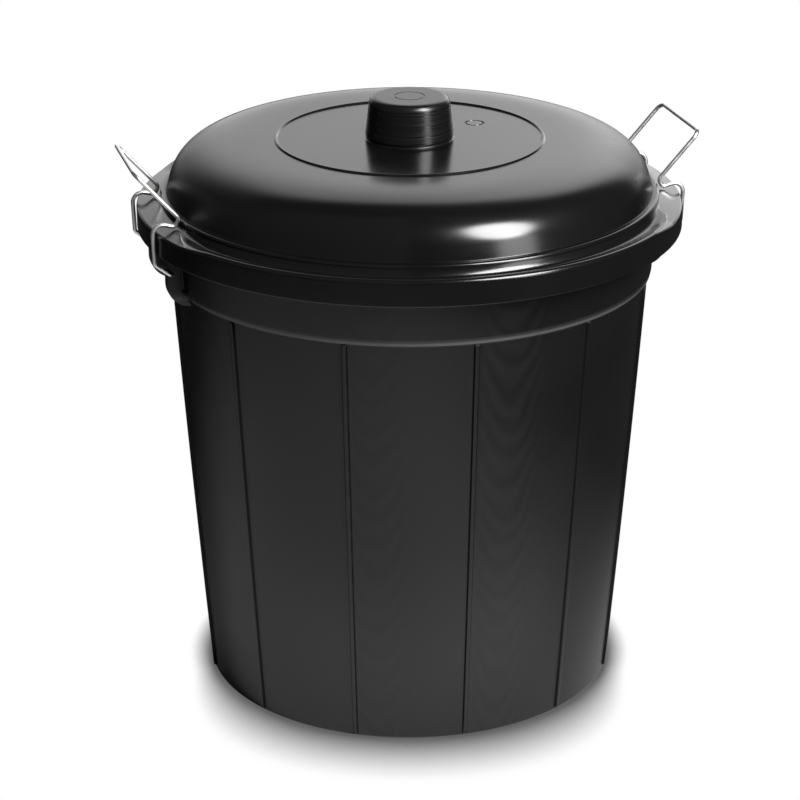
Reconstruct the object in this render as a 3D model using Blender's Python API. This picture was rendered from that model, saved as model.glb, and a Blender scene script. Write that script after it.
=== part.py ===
"""A round plastic dustbin with a domed lift-off lid and two sprung wire clip handles.

Metres, +Z up. The origin is on the bin's axis, at the surface that the bin stands on.
The clips hinge on the +X and -X sides.
"""

import math

import bmesh
import bpy
from mathutils import Vector

# Sizes shared by the pieces
seat_gap = 0.0003
overrun = 0.002

# Tub
rim_height = 0.419
base_radius = 0.1767
wall_bow = 0.0009
tub_wall = 0.0026
base_edge_round = 0.0025
foot_recess = 0.003
foot_ring_width = 0.012
foot_edge_round = 0.0012
floor_thickness = 0.003
floor_round = 0.008
hollow_columns = 84

# Lip where the wall steps out to the collar
lip_drop = 0.0568
lip_proud = 0.0028
lip_face = 0.0045
lip_chamfer = 0.0006
lip_edge_round = 0.0016

# Rim that the lid covers
rim_radius = 0.2268
rim_overhang = 0.0241
rim_wall = 0.0022
rim_drop = 0.012
rim_round = 0.0018
mouth_chamfer = 0.001

# Ribs
rib_count = 12
rib_width = 0.004
rib_draft = 0.0004
rib_proud = 0.002
rib_bottom = 0.003
rib_run_out = 0.0015
columns_between_ribs = 3
wall_steps = 4

# Lid
lid_wall = 0.0026
skirt_clearance = 0.0006
skirt_depth = 0.0223
skirt_edge_round = 0.0006
flange_round = 0.0034
flange_width = 0.0191
trough_round = 0.0055
trough_angle = math.radians(77.4)
trough_rise = 0.0043
landing_fall = 0.0034
ledge_batter = 0.0009
ledge_width = 0.0036
ledge_rise = 0.0058
ledge_round = 0.0008
dome_height = 0.0422
dome_sink = 0.0035
foot_fillet = 0.001
foot_flare = 0.0028
foot_flare_height = 0.0105
foot_flare_power = 1.3
panel_radius = 0.1102
bead_width = 0.0033
bead_height = 0.0012
bead_slope = 0.0009
shoulder_reach_power = 0.463
shoulder_rise_power = 0.93

# Knob
knob_height = 0.0353
knob_base_radius = 0.0372
knob_top_radius = 0.0334
knob_round = 0.0062
knob_foot_height = 0.003
knob_foot_inset = 0.0012
knob_foot_round = 0.0012
knob_fillet = 0.0008

# Landing that bridges the flange's trough at each clip, and how far round the lid was put on.
# It falls from the ledge's foot to just below the flange's outer edge.
landing_inner_angle = math.radians(20.5)
landing_outer_angle = math.radians(28.5)
landing_slope_angle = math.radians(6)
lid_turn = math.radians(-5.5)
lid_column_angle = math.radians(5)

# Wire clips
wire_radius = 0.00175
clip_half_width = 0.0461
clip_seat_inset = 0.0150
clip_v_run = 0.0040
clip_v_rise = 0.0066
arm_length = 0.0528
arm_slope = math.radians(48.3)
hoop_rise = 0.0046
hoop_clearance = 0.0016
run_clearance = 0.0003
run_drop = 0.0075
grip_bend = 0.0075
arm_bend = 0.0042
seat_bend = 0.0032
hoop_bend = 0.0082
run_bend = 0.0038
pin_bend = 0.0036
pin_reach = 0.0115

# Lugs and the clips' hinge axis
pivot_inset = 0.0165
pivot_drop = 0.0335
bore_clearance = 0.0003
bore_sides = 16
lug_thickness = 0.009
lug_outer_margin = 0.0038
lug_depth_in = 0.009
lug_below_pivot = 0.029
lug_foot_height = 0.013
lug_round = 0.020
lug_embed = 0.0085
web_thickness = 0.003

# Worked out from the sizes above
lip_height = rim_height - lip_drop
collar_radius = rim_radius - rim_overhang
wall_slope = (collar_radius - base_radius) / lip_height
skirt_radius = rim_radius + skirt_clearance + lid_wall
trough_top = rim_height + seat_gap + lid_wall
trough_middle = trough_round * math.sin(trough_angle)
flange_reach = flange_width - flange_round
flange_inner_radius = skirt_radius - flange_width
ledge_radius = flange_inner_radius - ledge_batter
dome_radius = ledge_radius - ledge_width
flange_inner_height = trough_top + trough_round * (1 - math.cos(trough_angle))
flange_outer_height = trough_top + trough_rise
ledge_height = flange_inner_height + ledge_rise
panel_height = ledge_height + dome_height
knob_top_height = panel_height + knob_height
skirt_bottom = flange_outer_height - skirt_depth
pivot_x = skirt_radius - pivot_inset
pivot_z = rim_height - pivot_drop
pin_end = clip_half_width - pin_bend - pin_reach
lug_outer_face = clip_half_width - pin_bend - seat_gap
lug_inner_face = lug_outer_face - lug_thickness


def wall_radius(z):
    """The tub's outer radius at a height: a taper that bows out a little between foot and lip."""
    share = min(1, z / lip_height)
    return base_radius + wall_slope * z + wall_bow * 4 * share * (1 - share)


def rounded(corners):
    """A path through corners of (point, radius, steps), with each corner turned into an arc."""
    points = [Vector(point) for point, _, _ in corners]
    path = []
    for i, (corner, radius, steps) in enumerate(corners):
        here = points[i]
        if not radius or i in (0, len(points) - 1):
            path.append(here)
            continue
        back = (points[i - 1] - here).normalized()
        on = (points[i + 1] - here).normalized()
        half = back.angle(on) / 2
        middle = here + (back + on).normalized() * radius / math.sin(half)
        start = here + back * radius / math.tan(half) - middle
        end = here + on * radius / math.tan(half) - middle
        turn = start.angle(end)
        for n in range(steps + 1):
            share = n / steps
            ahead = math.sin(turn * share) / math.sin(turn)
            behind = math.sin(turn * (1 - share)) / math.sin(turn)
            path.append(middle + start * behind + end * ahead)
    return path


def outline(*corners):
    """Rounded (radius, height) points from corners of (r, z) or (r, z, rounding, steps)."""
    full = [((c[0], c[1]), *(c[2:] or (0, 0))) for c in corners]
    return [(point.x, point.y) for point in rounded([((x, z, 0), r, n) for (x, z), r, n in full])]


def turned(columns, outline_at):
    """A closed mesh from an outline that runs from axis to axis, one outline at each angle."""
    shell = bmesh.new()
    outlines = [outline_at(angle) for angle in columns]
    ends = [shell.verts.new((0, 0, outlines[0][k][1])) for k in (0, -1)]
    rings = [
        [shell.verts.new((r * math.cos(a), r * math.sin(a), z)) for r, z in points[1:-1]]
        for a, points in zip(columns, outlines)
    ]
    for ring, after in zip(rings, rings[1:] + rings[:1]):
        shell.faces.new((ends[0], ring[0], after[0]))
        for k in range(len(ring) - 1):
            shell.faces.new((ring[k], ring[k + 1], after[k + 1], after[k]))
        shell.faces.new((ring[-1], ends[1], after[-1]))
    bmesh.ops.recalc_face_normals(shell, faces=shell.faces)
    return shell


def prism(points, low, high):
    """A closed mesh of an (x, z) outline pushed along Y from low to high."""
    solid = bmesh.new()
    face = solid.faces.new([solid.verts.new((x, low, z)) for x, z in points])
    made = bmesh.ops.extrude_face_region(solid, geom=[face])["geom"]
    moved = [item for item in made if isinstance(item, bmesh.types.BMVert)]
    bmesh.ops.translate(solid, verts=moved, vec=(0, high - low, 0))
    bmesh.ops.recalc_face_normals(solid, faces=solid.faces)
    return solid


def mesh_object(name, shape, material=None):
    """An object in the scene that holds a bmesh, shaded smooth except at its edges."""
    mesh = bpy.data.meshes.new(name)
    shape.to_mesh(mesh)
    shape.free()
    if material:
        mesh.materials.append(material)
    mesh.shade_smooth()
    mesh.set_sharp_from_angle(angle=math.radians(35))
    made = bpy.data.objects.new(name, mesh)
    bpy.context.scene.collection.objects.link(made)
    return made


def helper(name, shape):
    """A shape that a Boolean uses, which isn't part of the object."""
    made = mesh_object(name, shape)
    made.hide_render = True
    made.display_type = "WIRE"
    return made


def combine(target, other, operation):
    """Adds or cuts one helper on an object."""
    modifier = target.modifiers.new(other.name, "BOOLEAN")
    modifier.operation = operation
    modifier.solver = "EXACT"
    modifier.object = other


def principled(name, colour, roughness, metallic):
    """A Principled BSDF material."""
    material = bpy.data.materials.new(name)
    material.use_nodes = True
    shader = material.node_tree.nodes["Principled BSDF"]
    shader.inputs["Base Color"].default_value = (*colour, 1)
    shader.inputs["Roughness"].default_value = roughness
    shader.inputs["Metallic"].default_value = metallic
    return material


def tub_columns():
    """Angles round the tub, with four at each rib, and which of them are on a rib's top."""
    half_top = (rib_width / 2 - rib_draft) / collar_radius
    half_foot = rib_width / 2 / collar_radius
    pitch = math.tau / rib_count
    columns = {}
    for rib in range(rib_count):
        middle = rib * pitch
        for offset, raised in ((-half_foot, 0), (-half_top, 1), (half_top, 1), (half_foot, 0)):
            columns[middle + offset] = raised
        for n in range(columns_between_ribs):
            columns[middle + pitch * (n + 1) / (columns_between_ribs + 1)] = 0
    return columns


def tub_outline(raised):
    """The filled tub's outline from its axis below to its axis above, on a rib's top or beside it."""
    proud = raised * rib_proud
    foot_inner = wall_radius(0) - base_edge_round - foot_ring_width
    rib_top = lip_height - rib_run_out
    lip_top = lip_height + lip_face
    under_rim = rim_height - rim_wall
    return outline(
        (0, foot_recess),
        (foot_inner - foot_recess, foot_recess),
        (foot_inner, 0, foot_edge_round, 1),
        (wall_radius(0), 0, base_edge_round, 4),
        (wall_radius(rib_bottom), rib_bottom),
        (wall_radius(rib_bottom + rib_run_out) + proud, rib_bottom + rib_run_out),
        *wall_points(proud),
        (wall_radius(rib_top) + proud, rib_top),
        (wall_radius(lip_height), lip_height),
        (wall_radius(lip_height) + lip_proud - lip_chamfer, lip_height + seat_gap, lip_edge_round, 3),
        (wall_radius(lip_top) + lip_proud, lip_top),
        (wall_radius(under_rim) + lip_proud, under_rim, rim_round, 2),
        (rim_radius - rim_wall, under_rim),
        (rim_radius - rim_wall, rim_height - rim_drop),
        (rim_radius, rim_height - rim_drop),
        (rim_radius, rim_height, rim_round, 3),
        (0, rim_height),
    )


def wall_points(proud):
    """Points up the wall between the foot and the lip, this far proud of it."""
    heights = [lip_height * n / wall_steps for n in range(1, wall_steps)]
    return [(wall_radius(z) + proud, z) for z in heights]


def tub_hollow():
    """The room inside the tub, which runs out past the rim."""
    inner_floor = foot_recess + floor_thickness
    lip_top = lip_height + lip_face
    inner_top = wall_radius(rim_height) + lip_proud - tub_wall
    shape = turned(
        [math.tau * n / hollow_columns for n in range(hollow_columns)],
        lambda _: outline(
            (0, inner_floor),
            (wall_radius(inner_floor) - tub_wall, inner_floor, floor_round, 3),
            *wall_points(-tub_wall),
            (wall_radius(lip_height) - tub_wall, lip_height),
            (wall_radius(lip_top) + lip_proud - tub_wall, lip_top),
            (inner_top - mouth_chamfer * wall_slope, rim_height - mouth_chamfer),
            (inner_top + mouth_chamfer + overrun, rim_height + overrun),
            (0, rim_height + overrun),
        ),
    )
    return helper("tub_hollow", shape)


def lug_shapes(side, end):
    """One lug's plate, its web and its bore cutter, on the side of one clip and at one of its ends."""
    foot_bottom = pivot_z - lug_below_pivot
    foot_top = foot_bottom + lug_foot_height
    outer = pivot_x + lug_outer_margin
    inner = pivot_x - lug_depth_in
    inside_wall = inner - lug_embed
    top = rim_height - rim_wall / 2
    plate = outline(
        (inner, top),
        (outer, top),
        (outer, foot_bottom, lug_round, 6),
        (inside_wall, foot_bottom),
        (inside_wall, foot_top),
        (inner, foot_top),
    )
    web = [(inner + overrun, top), (inner + overrun, foot_top - overrun)]
    web += [(inside_wall, foot_top - overrun), (inside_wall, top)]
    middle = (lug_inner_face + lug_outer_face) / 2
    bore_radius = wire_radius + bore_clearance
    bore = [
        (
            pivot_x + bore_radius * math.cos(math.tau * n / bore_sides),
            pivot_z + bore_radius * math.sin(math.tau * n / bore_sides),
        )
        for n in range(bore_sides)
    ]
    widths = (
        (plate, lug_inner_face, lug_outer_face),
        (web, middle - web_thickness / 2, middle + web_thickness / 2),
        (bore, lug_inner_face - overrun, lug_outer_face + overrun),
    )
    shapes = []
    for points, near, far in widths:
        low, high = sorted((end * near, end * far))
        shapes.append(prism([(side * x, z) for x, z in points], low, high))
    return shapes


def joined(shapes):
    """Several closed shapes in one bmesh."""
    whole = bmesh.new()
    for shape in shapes:
        scratch = bpy.data.meshes.new("scratch")
        shape.to_mesh(scratch)
        shape.free()
        whole.from_mesh(scratch)
        bpy.data.meshes.remove(scratch)
    return whole


def make_bin_body(material):
    """The tub with its ribs, collar, rim and lugs, hollowed last so that the lugs end at its wall."""
    columns = tub_columns()
    shape = turned(sorted(columns), lambda angle: tub_outline(columns[angle]))
    body = mesh_object("bin_body", shape, material)
    sets = zip(*[lug_shapes(side, end) for side in (1, -1) for end in (1, -1)])
    plates, webs, bores = [joined(shapes) for shapes in sets]
    combine(body, helper("lug_plates", plates), "UNION")
    combine(body, helper("lug_webs", webs), "UNION")
    combine(body, helper("lug_bores", bores), "DIFFERENCE")
    combine(body, tub_hollow(), "DIFFERENCE")
    return body


def landing_share(angle, along):
    """1 on a landing, 0 in the trough. along runs from 0 at the ledge to 1 at the outer edge."""
    from_middle = abs((angle - lid_turn + math.pi / 2) % math.pi - math.pi / 2)
    edge = landing_inner_angle + (landing_outer_angle - landing_inner_angle) * along
    return min(1, max(0, (edge + landing_slope_angle - from_middle) / landing_slope_angle))


def trough_height(reach):
    """The height of the trough at a distance outward from the ledge's foot: an arc, then a soft rise."""
    inward = trough_middle - reach
    if inward > 0:
        return trough_top + trough_round - math.sqrt(trough_round**2 - inward**2)
    share = -inward / (flange_reach - trough_middle)
    return trough_top + trough_rise * (1 - math.cos(math.pi * share)) / 2


def flange_height(angle, reach):
    """The height of the flange's top at a distance outward from the ledge's foot."""
    along = reach / flange_reach
    landing = flange_inner_height - landing_fall * along
    trough = trough_height(reach)
    return trough + (landing - trough) * landing_share(angle, along)


def flange_points(angle, wall, arc_steps, rise_steps):
    """Points across the flange, from the ledge's foot outward, on its top or a wall below it."""
    turns = [trough_angle * (1 - n / arc_steps) for n in range(arc_steps + 1)]
    reaches = [trough_middle - trough_round * math.sin(turn) for turn in turns]
    rise = flange_reach - trough_middle
    reaches += [trough_middle + rise * (n + 1) / rise_steps for n in range(rise_steps)]
    points = []
    for reach in reaches:
        inset = wall * (1 - reach / flange_reach)
        points.append((flange_inner_radius + reach - inset, flange_height(angle, reach) - wall))
    return points


def shoulder_points(wall, steps):
    """Points down the dome's shoulder, from the panel to just above the ledge, on it or a wall inside.

    The curve is a superellipse, which would end a little below the ledge, and its foot flares out.
    """
    reach = dome_radius - foot_flare - panel_radius - wall
    flare_top = ledge_height + foot_flare_height
    rise = dome_height + dome_sink
    points = []
    for n in range(1, steps):
        turn = math.pi / 2 * n / steps
        r = panel_radius + reach * math.sin(turn) ** shoulder_reach_power
        z = panel_height - wall - rise * (1 - math.cos(turn) ** shoulder_rise_power)
        flare = max(0, flare_top - z) / foot_flare_height
        if z > ledge_height + foot_fillet:
            points.append((r + foot_flare * flare**foot_flare_power, z))
    return points


def lid_outline(angle):
    """The lid's outline at one angle, from the knob's top over its outside to the knob's underside."""
    bead_top = panel_height + bead_height
    bead_end = panel_radius + bead_width
    knob_foot = knob_base_radius - knob_foot_inset
    top = flange_points(angle, 0, 4, 3)
    under = flange_points(angle, lid_wall, 2, 2)
    inner_skirt = skirt_radius - lid_wall
    return outline(
        (0, knob_top_height),
        (knob_top_radius, knob_top_height, knob_round, 3),
        (knob_base_radius, panel_height + knob_foot_height, knob_foot_round, 1),
        (knob_foot, panel_height, knob_fillet, 1),
        (panel_radius, panel_height),
        (panel_radius + bead_slope, bead_top),
        (bead_end - bead_slope, bead_top),
        (bead_end, panel_height),
        *shoulder_points(0, 11)[1:],
        (dome_radius, ledge_height, foot_fillet, 2),
        (ledge_radius, ledge_height, ledge_round, 1),
        *top,
        (skirt_radius, top[-1][1], flange_round, 3),
        (skirt_radius, skirt_bottom, skirt_edge_round, 1),
        (inner_skirt, skirt_bottom, skirt_edge_round, 1),
        (inner_skirt, under[-1][1]),
        *reversed(under),
        (ledge_radius - lid_wall, ledge_height - lid_wall),
        (dome_radius - lid_wall, ledge_height - lid_wall),
        *reversed(shoulder_points(lid_wall, 7)[1:]),
        (knob_foot - lid_wall, panel_height - lid_wall),
        (knob_top_radius - lid_wall, knob_top_height - lid_wall, knob_round - lid_wall, 1),
        (0, knob_top_height - lid_wall),
    )


def lid_columns():
    """Angles round the lid: even steps, and closer ones where a landing ends."""
    inner, outer, slope = landing_inner_angle, landing_outer_angle, landing_slope_angle
    middle = (inner + outer) / 2
    crease = sorted(a + turn for a in (inner, middle, outer) for turn in (0, slope))
    steps = round(math.pi / 2 / lid_column_angle)
    even = [n * lid_column_angle for n in range(steps + 1)]
    clear = lid_column_angle / 2
    even = [a for a in even if not crease[0] - clear < a < crease[-1] + clear / 2]
    quarter = sorted(even + crease)
    half = sorted({-a for a in quarter if a < even[-1]} | set(quarter))
    return [lid_turn + side + a for side in (0, math.pi) for a in half]


def make_lid(material):
    """The lid with its knob, in one wall."""
    return mesh_object("lid", turned(lid_columns(), lid_outline), material)


def chord(radius, across):
    """How far along X a circle of this radius is, at a distance across from X."""
    return math.sqrt(radius**2 - across**2)


def clip_corners():
    """The wire's corners on the +Y side from its pin to the grip, about the hinge axis."""
    seat_radius = skirt_radius - clip_seat_inset
    along = (seat_radius - flange_inner_radius) / flange_reach
    steepness = math.atan(landing_fall / flange_reach)
    seat_x = chord(seat_radius, clip_half_width)
    seat_z = flange_inner_height - landing_fall * along
    seat_z += (wire_radius + seat_gap) / math.cos(steepness)
    arm_x, arm_z = seat_x - clip_v_run, seat_z + clip_v_rise
    grip_x = arm_x + arm_length * math.cos(arm_slope)
    grip_z = arm_z + arm_length * math.sin(arm_slope)
    hoop_x = chord(skirt_radius + hoop_clearance + wire_radius, clip_half_width)
    run_x = chord(skirt_radius + run_clearance + wire_radius, clip_half_width)
    return (
        (0, 0, pin_bend, 4),
        (run_x - pivot_x, skirt_bottom - run_drop - pivot_z, run_bend, 3),
        (hoop_x - pivot_x, seat_z + hoop_rise - pivot_z, hoop_bend, 5),
        (seat_x - pivot_x, seat_z - pivot_z, seat_bend, 3),
        (arm_x - pivot_x, arm_z - pivot_z, arm_bend, 4),
        (grip_x - pivot_x, grip_z - pivot_z, grip_bend, 5),
    )


def make_clip(name, side, material):
    """One bent wire, with its origin on its hinge axis."""
    half = [((x, clip_half_width, z), bend, steps) for x, z, bend, steps in clip_corners()]
    other = [((x, -y, z), bend, steps) for (x, y, z), bend, steps in reversed(half)]
    ends = [[((0, end * pin_end, 0), 0, 0)] for end in (1, -1)]
    path = rounded(ends[0] + half + other + ends[1])
    wire = bpy.data.curves.new(name, "CURVE")
    wire.dimensions = "3D"
    wire.bevel_depth = wire_radius
    wire.bevel_resolution = 2
    wire.use_fill_caps = True
    spline = wire.splines.new("POLY")
    spline.points.add(len(path) - 1)
    for place, point in zip(spline.points, path):
        place.co = (*point, 1)
    spline.use_smooth = True
    wire.materials.append(material)
    clip = bpy.data.objects.new(name, wire)
    clip.location = (side * pivot_x, 0, pivot_z)
    clip.rotation_euler = (0, 0, 0 if side > 0 else math.pi)
    bpy.context.scene.collection.objects.link(clip)
    return clip


def main():
    for old in list(bpy.data.objects):
        bpy.data.objects.remove(old, do_unlink=True)
    tub_plastic = principled("tub_plastic", (0.018, 0.018, 0.019), 0.42, 0)
    lid_plastic = principled("lid_plastic", (0.012, 0.012, 0.013), 0.14, 0)
    zinc_wire = principled("zinc_wire", (0.62, 0.62, 0.60), 0.25, 1)
    make_bin_body(tub_plastic)
    make_lid(lid_plastic)
    make_clip("right_clip", 1, zinc_wire)
    make_clip("left_clip", -1, zinc_wire)


main()
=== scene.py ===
import math

import bmesh
import bpy
import numpy as np
from mathutils import Matrix, Vector


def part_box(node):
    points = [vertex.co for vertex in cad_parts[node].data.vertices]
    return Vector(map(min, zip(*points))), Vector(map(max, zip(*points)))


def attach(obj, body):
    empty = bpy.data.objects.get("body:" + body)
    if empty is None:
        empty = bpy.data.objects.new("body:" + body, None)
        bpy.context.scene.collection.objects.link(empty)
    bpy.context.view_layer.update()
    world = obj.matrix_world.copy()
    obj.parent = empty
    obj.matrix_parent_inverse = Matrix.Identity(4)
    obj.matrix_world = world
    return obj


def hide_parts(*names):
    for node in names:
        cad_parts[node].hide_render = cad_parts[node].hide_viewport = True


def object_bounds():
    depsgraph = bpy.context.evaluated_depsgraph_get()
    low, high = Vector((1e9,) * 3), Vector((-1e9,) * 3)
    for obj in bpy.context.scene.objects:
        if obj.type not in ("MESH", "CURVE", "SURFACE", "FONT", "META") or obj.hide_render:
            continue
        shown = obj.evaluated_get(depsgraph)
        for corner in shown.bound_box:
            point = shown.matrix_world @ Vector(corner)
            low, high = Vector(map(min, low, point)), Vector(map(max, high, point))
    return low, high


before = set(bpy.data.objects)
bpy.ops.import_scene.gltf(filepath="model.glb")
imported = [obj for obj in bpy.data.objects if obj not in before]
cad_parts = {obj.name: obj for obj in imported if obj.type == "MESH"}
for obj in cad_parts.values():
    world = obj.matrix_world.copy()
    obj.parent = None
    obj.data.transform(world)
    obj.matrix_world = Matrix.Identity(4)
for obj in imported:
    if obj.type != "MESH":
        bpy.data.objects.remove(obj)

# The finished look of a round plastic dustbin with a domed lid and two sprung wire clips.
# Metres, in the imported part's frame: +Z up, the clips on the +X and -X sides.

cad_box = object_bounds()

# Sizes shared by the pieces
SEAT_GAP = 0.0003
CREASE = math.radians(40)
EDGE_HOLD = 0.0004

# Tub
RIM_HEIGHT = 0.419
BASE_RADIUS = 0.1767
COLLAR_RADIUS = 0.2027
WALL_BOW = 0.0009
TUB_WALL = 0.0026
BASE_EDGE_ROUND = 0.0025
FOOT_RECESS = 0.003
FOOT_RING_WIDTH = 0.012
FOOT_EDGE_ROUND = 0.0012
FLOOR_THICKNESS = 0.003
FLOOR_ROUND = 0.008
LIP_HEIGHT = 0.3622
LIP_PROUD = 0.0028
LIP_FACE = 0.0045
LIP_CHAMFER = 0.0006
LIP_EDGE_ROUND = 0.0016
LIP_BLEND = 0.008
RIM_RADIUS = 0.2268
RIM_WALL = 0.0022
RIM_DROP = 0.012
RIM_ROUND = 0.0018
MOUTH_ROUND = 0.0008

# Ribs: how far each point of the profile is from the rib's middle, and its share of the height
RIB_COUNT = 12
RIB_PROUD = 0.002
RIB_BOTTOM = 0.003
RIB_RUN_OUT = 0.0015
RIB_PROFILE = (
    (-0.0026, 0.0), (-0.0023, 0.05), (-0.0021, 0.2), (-0.0017, 0.85), (-0.0015, 0.96), (-0.0011, 1.0),
    (0.0011, 1.0), (0.0015, 0.96), (0.0017, 0.85), (0.0021, 0.2), (0.0023, 0.05), (0.0026, 0.0),
)
RIB_FLANK = 0.0021
TUB_COLUMNS_BETWEEN_RIBS = 26
WALL_STEPS = 24

# Lid
LID_WALL = 0.0026
SKIRT_DEPTH = 0.0223
SKIRT_EDGE_ROUND = 0.001
FLANGE_ROUND = 0.0034
FLANGE_WIDTH = 0.0197
BAND_ROUND = 0.0158
BAND_ANGLE = math.radians(79)
TROUGH_ROUND = 0.0045
TROUGH_ANGLE = math.radians(62)
TROUGH_RISE = 0.0043
LANDING_RISE = 0.00443
LANDING_FALL = 0.00353
LEDGE_BATTER = 0.0003
LEDGE_WIDTH = 0.0052
LEDGE_RISE = 0.0033
LEDGE_ROUND = 0.0022
DOME_HEIGHT = 0.0422
DOME_SINK = 0.0035
FOOT_FILLET = 0.0004
FOOT_FLARE = 0.0012
FOOT_FLARE_HEIGHT = 0.0105
FOOT_FLARE_POWER = 1.5
PANEL_RADIUS = 0.1102
BEAD_WIDTH = 0.0038
BEAD_HEIGHT = 0.0014
BEAD_SLOPE = 0.0013
BEAD_ROUND = 0.0007
SHOULDER_REACH_POWER = 0.463
SHOULDER_RISE_POWER = 0.93
MARK_PLACE = (0.0647, 0.0264)
MARK_RADIUS = 0.0076
MARK_WIDTH = 0.0018
MARK_SIDES = 10
MARK_TURNS = 64

# Lid: the loops of points on its panel, as shares of its radius, and the steps along its curves
PANEL_LOOPS = (0.6, 0.9)
FLANGE_TOP_STEPS = (9, 10)
FLANGE_UNDER_STEPS = (3, 3)
SHOULDER_TOP_STEPS = 64
SHOULDER_UNDER_STEPS = 30
SHOULDER_CROWDING = 1.5
LID_COLUMN_PITCH = math.radians(1)
LANDING_COLUMN_PITCH = math.radians(0.25)
TROUGH_COLUMNS = 65

# Knob
KNOB_HEIGHT = 0.0353
KNOB_BASE_RADIUS = 0.0372
KNOB_TOP_RADIUS = 0.0334
KNOB_ROUND = 0.0062
KNOB_FOOT_HEIGHT = 0.003
KNOB_FOOT_INSET = 0.0012
KNOB_FOOT_ROUND = 0.0012
KNOB_FILLET = 0.0009
KNOB_RING_RADIUS = 0.0125
KNOB_RING_WIDTH = 0.0012
KNOB_RING_DEPTH = 0.0005

# Landings that bridge the flange's trough at the clips, falling outward
LANDING_INNER_ANGLE = math.radians(20.5)
LANDING_OUTER_ANGLE = math.radians(27.5)
LANDING_SLOPE_ANGLE = math.radians(10)
LID_TURN = math.radians(-7)

# Wire clips
WIRE_RADIUS = 0.00175
CLIP_HALF_WIDTH = 0.0461
CLIP_SEAT_INSET = 0.0150
CLIP_V_RUN = 0.0040
CLIP_V_RISE = 0.0066
ARM_LENGTH = 0.0528
ARM_SLOPE = math.radians(48.3)
HOOP_RISE = 0.0046
HOOP_CLEARANCE = 0.0016
RUN_CLEARANCE = 0.0003
RUN_DROP = 0.0075
GRIP_BEND = 0.0075
ARM_BEND = 0.0042
SEAT_BEND = 0.0032
HOOP_BEND = 0.0082
RUN_BEND = 0.0038
PIN_BEND = 0.0036
PIN_REACH = 0.0115
WIRE_SIDES = 24
CAP_DEPTHS = (0.0, 0.12, 0.3, 0.6)
CAP_END_SHARE = 0.55

# Lugs
PIVOT_INSET = 0.0165
PIVOT_DROP = 0.0335
BORE_CLEARANCE = 0.0003
BORE_SIDES = 40
LUG_THICKNESS = 0.009
LUG_OUTER_MARGIN = 0.0038
LUG_DEPTH_IN = 0.009
LUG_BELOW_PIVOT = 0.029
LUG_FOOT_HEIGHT = 0.013
LUG_ROUND = 0.020
LUG_CORNER = 0.001
LUG_EDGE_ROUND = 0.0007
LUG_SINK = 0.0012
WEB_THICKNESS = 0.003

# Worked out from the sizes above
SKIRT_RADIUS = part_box("lid")[1].y
TROUGH_TOP = RIM_HEIGHT + SEAT_GAP + LID_WALL
BAND_END = TROUGH_TOP + TROUGH_ROUND * (1 - math.cos(TROUGH_ANGLE))
BAND_REACH = BAND_ROUND * (math.sin(BAND_ANGLE) - math.sin(TROUGH_ANGLE))
TROUGH_MIDDLE = BAND_REACH + TROUGH_ROUND * math.sin(TROUGH_ANGLE)
FLANGE_REACH = FLANGE_WIDTH - FLANGE_ROUND
FLANGE_INNER_RADIUS = SKIRT_RADIUS - FLANGE_WIDTH
FLANGE_INNER_HEIGHT = BAND_END + BAND_ROUND * (math.cos(TROUGH_ANGLE) - math.cos(BAND_ANGLE))
LANDING_TOP = TROUGH_TOP + LANDING_RISE
FLANGE_OUTER_HEIGHT = TROUGH_TOP + TROUGH_RISE
LEDGE_RADIUS = FLANGE_INNER_RADIUS - LEDGE_BATTER
DOME_RADIUS = LEDGE_RADIUS - LEDGE_WIDTH
LEDGE_HEIGHT = FLANGE_INNER_HEIGHT + LEDGE_RISE
PANEL_HEIGHT = LEDGE_HEIGHT + DOME_HEIGHT
KNOB_TOP_HEIGHT = PANEL_HEIGHT + KNOB_HEIGHT
SKIRT_BOTTOM = FLANGE_OUTER_HEIGHT - SKIRT_DEPTH
PIVOT_X = SKIRT_RADIUS - PIVOT_INSET
PIVOT_Z = RIM_HEIGHT - PIVOT_DROP

# Lid plastic
LID_ROUGHNESS = (0.165, 0.205)
LID_COLOURS = ((0.0034, 0.0034, 0.0037, 1), (0.0046, 0.0045, 0.0046, 1))
LID_CLOUD_SCALE = 9.0
SCUFF_SCALE = 60
SCUFF_ROUGHNESS = 0.04
SATIN_ROUGHNESS = 0.16
SATIN_EDGE = 0.0015
LATHE_STRETCH = (0.5, 0.5, 700.0)
LATHE_DEPTH = 4.0
RIPPLE_SCALE = 260.0
RIPPLE_DEPTH = 0.10
LID_RELIEF = 0.00006

# Duller patches on the dome beside the clips: the angles and radii that they fade between, and their
# added roughness
CLIP_RUB_INNER = math.radians(24)
CLIP_RUB_OUTER = math.radians(44)
RUB_RADII = (0.15, 0.19)
RUB_END = 0.003
RUB = 0.2

# Tub plastic, with a painted highlight along the lip and painted shade in the creases beside the ribs
TUB_ROUGHNESS = (0.26, 0.32)
TUB_COLOURS = ((0.0030, 0.0031, 0.0032, 1), (0.0066, 0.0066, 0.0066, 1))
TUB_CLOUD_SCALE = 12.0
WAVE_ROUGHNESS = 0.012
CLOUD_TINT = 0.5
WAVE_TINT = 0.35
LIP_HIGHLIGHT_COLOUR = (0.075, 0.075, 0.075, 1)
LIP_HIGHLIGHT_EDGE_HEIGHT = LIP_HEIGHT + 0.0012
LIP_HIGHLIGHT_FACE_HEIGHT = LIP_HEIGHT + 0.003
PLAIN_SPECULAR = 0.5
CREASE_SHADE_SPECULAR = 0.12
GRAIN_SCALE = 500.0
GRAIN_DEPTH = 0.3
WAVE_DEPTH = 1.2
TUB_RELIEF = 0.00005

# Zinc wire
WIRE_ROUGHNESS = (0.30, 0.42)
WIRE_COLOURS = ((0.95, 0.95, 0.94, 1), (0.88, 0.88, 0.86, 1))
WIRE_CLOUD_SCALE = 90.0
DRAW_STRETCH = (1800, 300, 300)
DRAW_RELIEF = 0.00004

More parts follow.
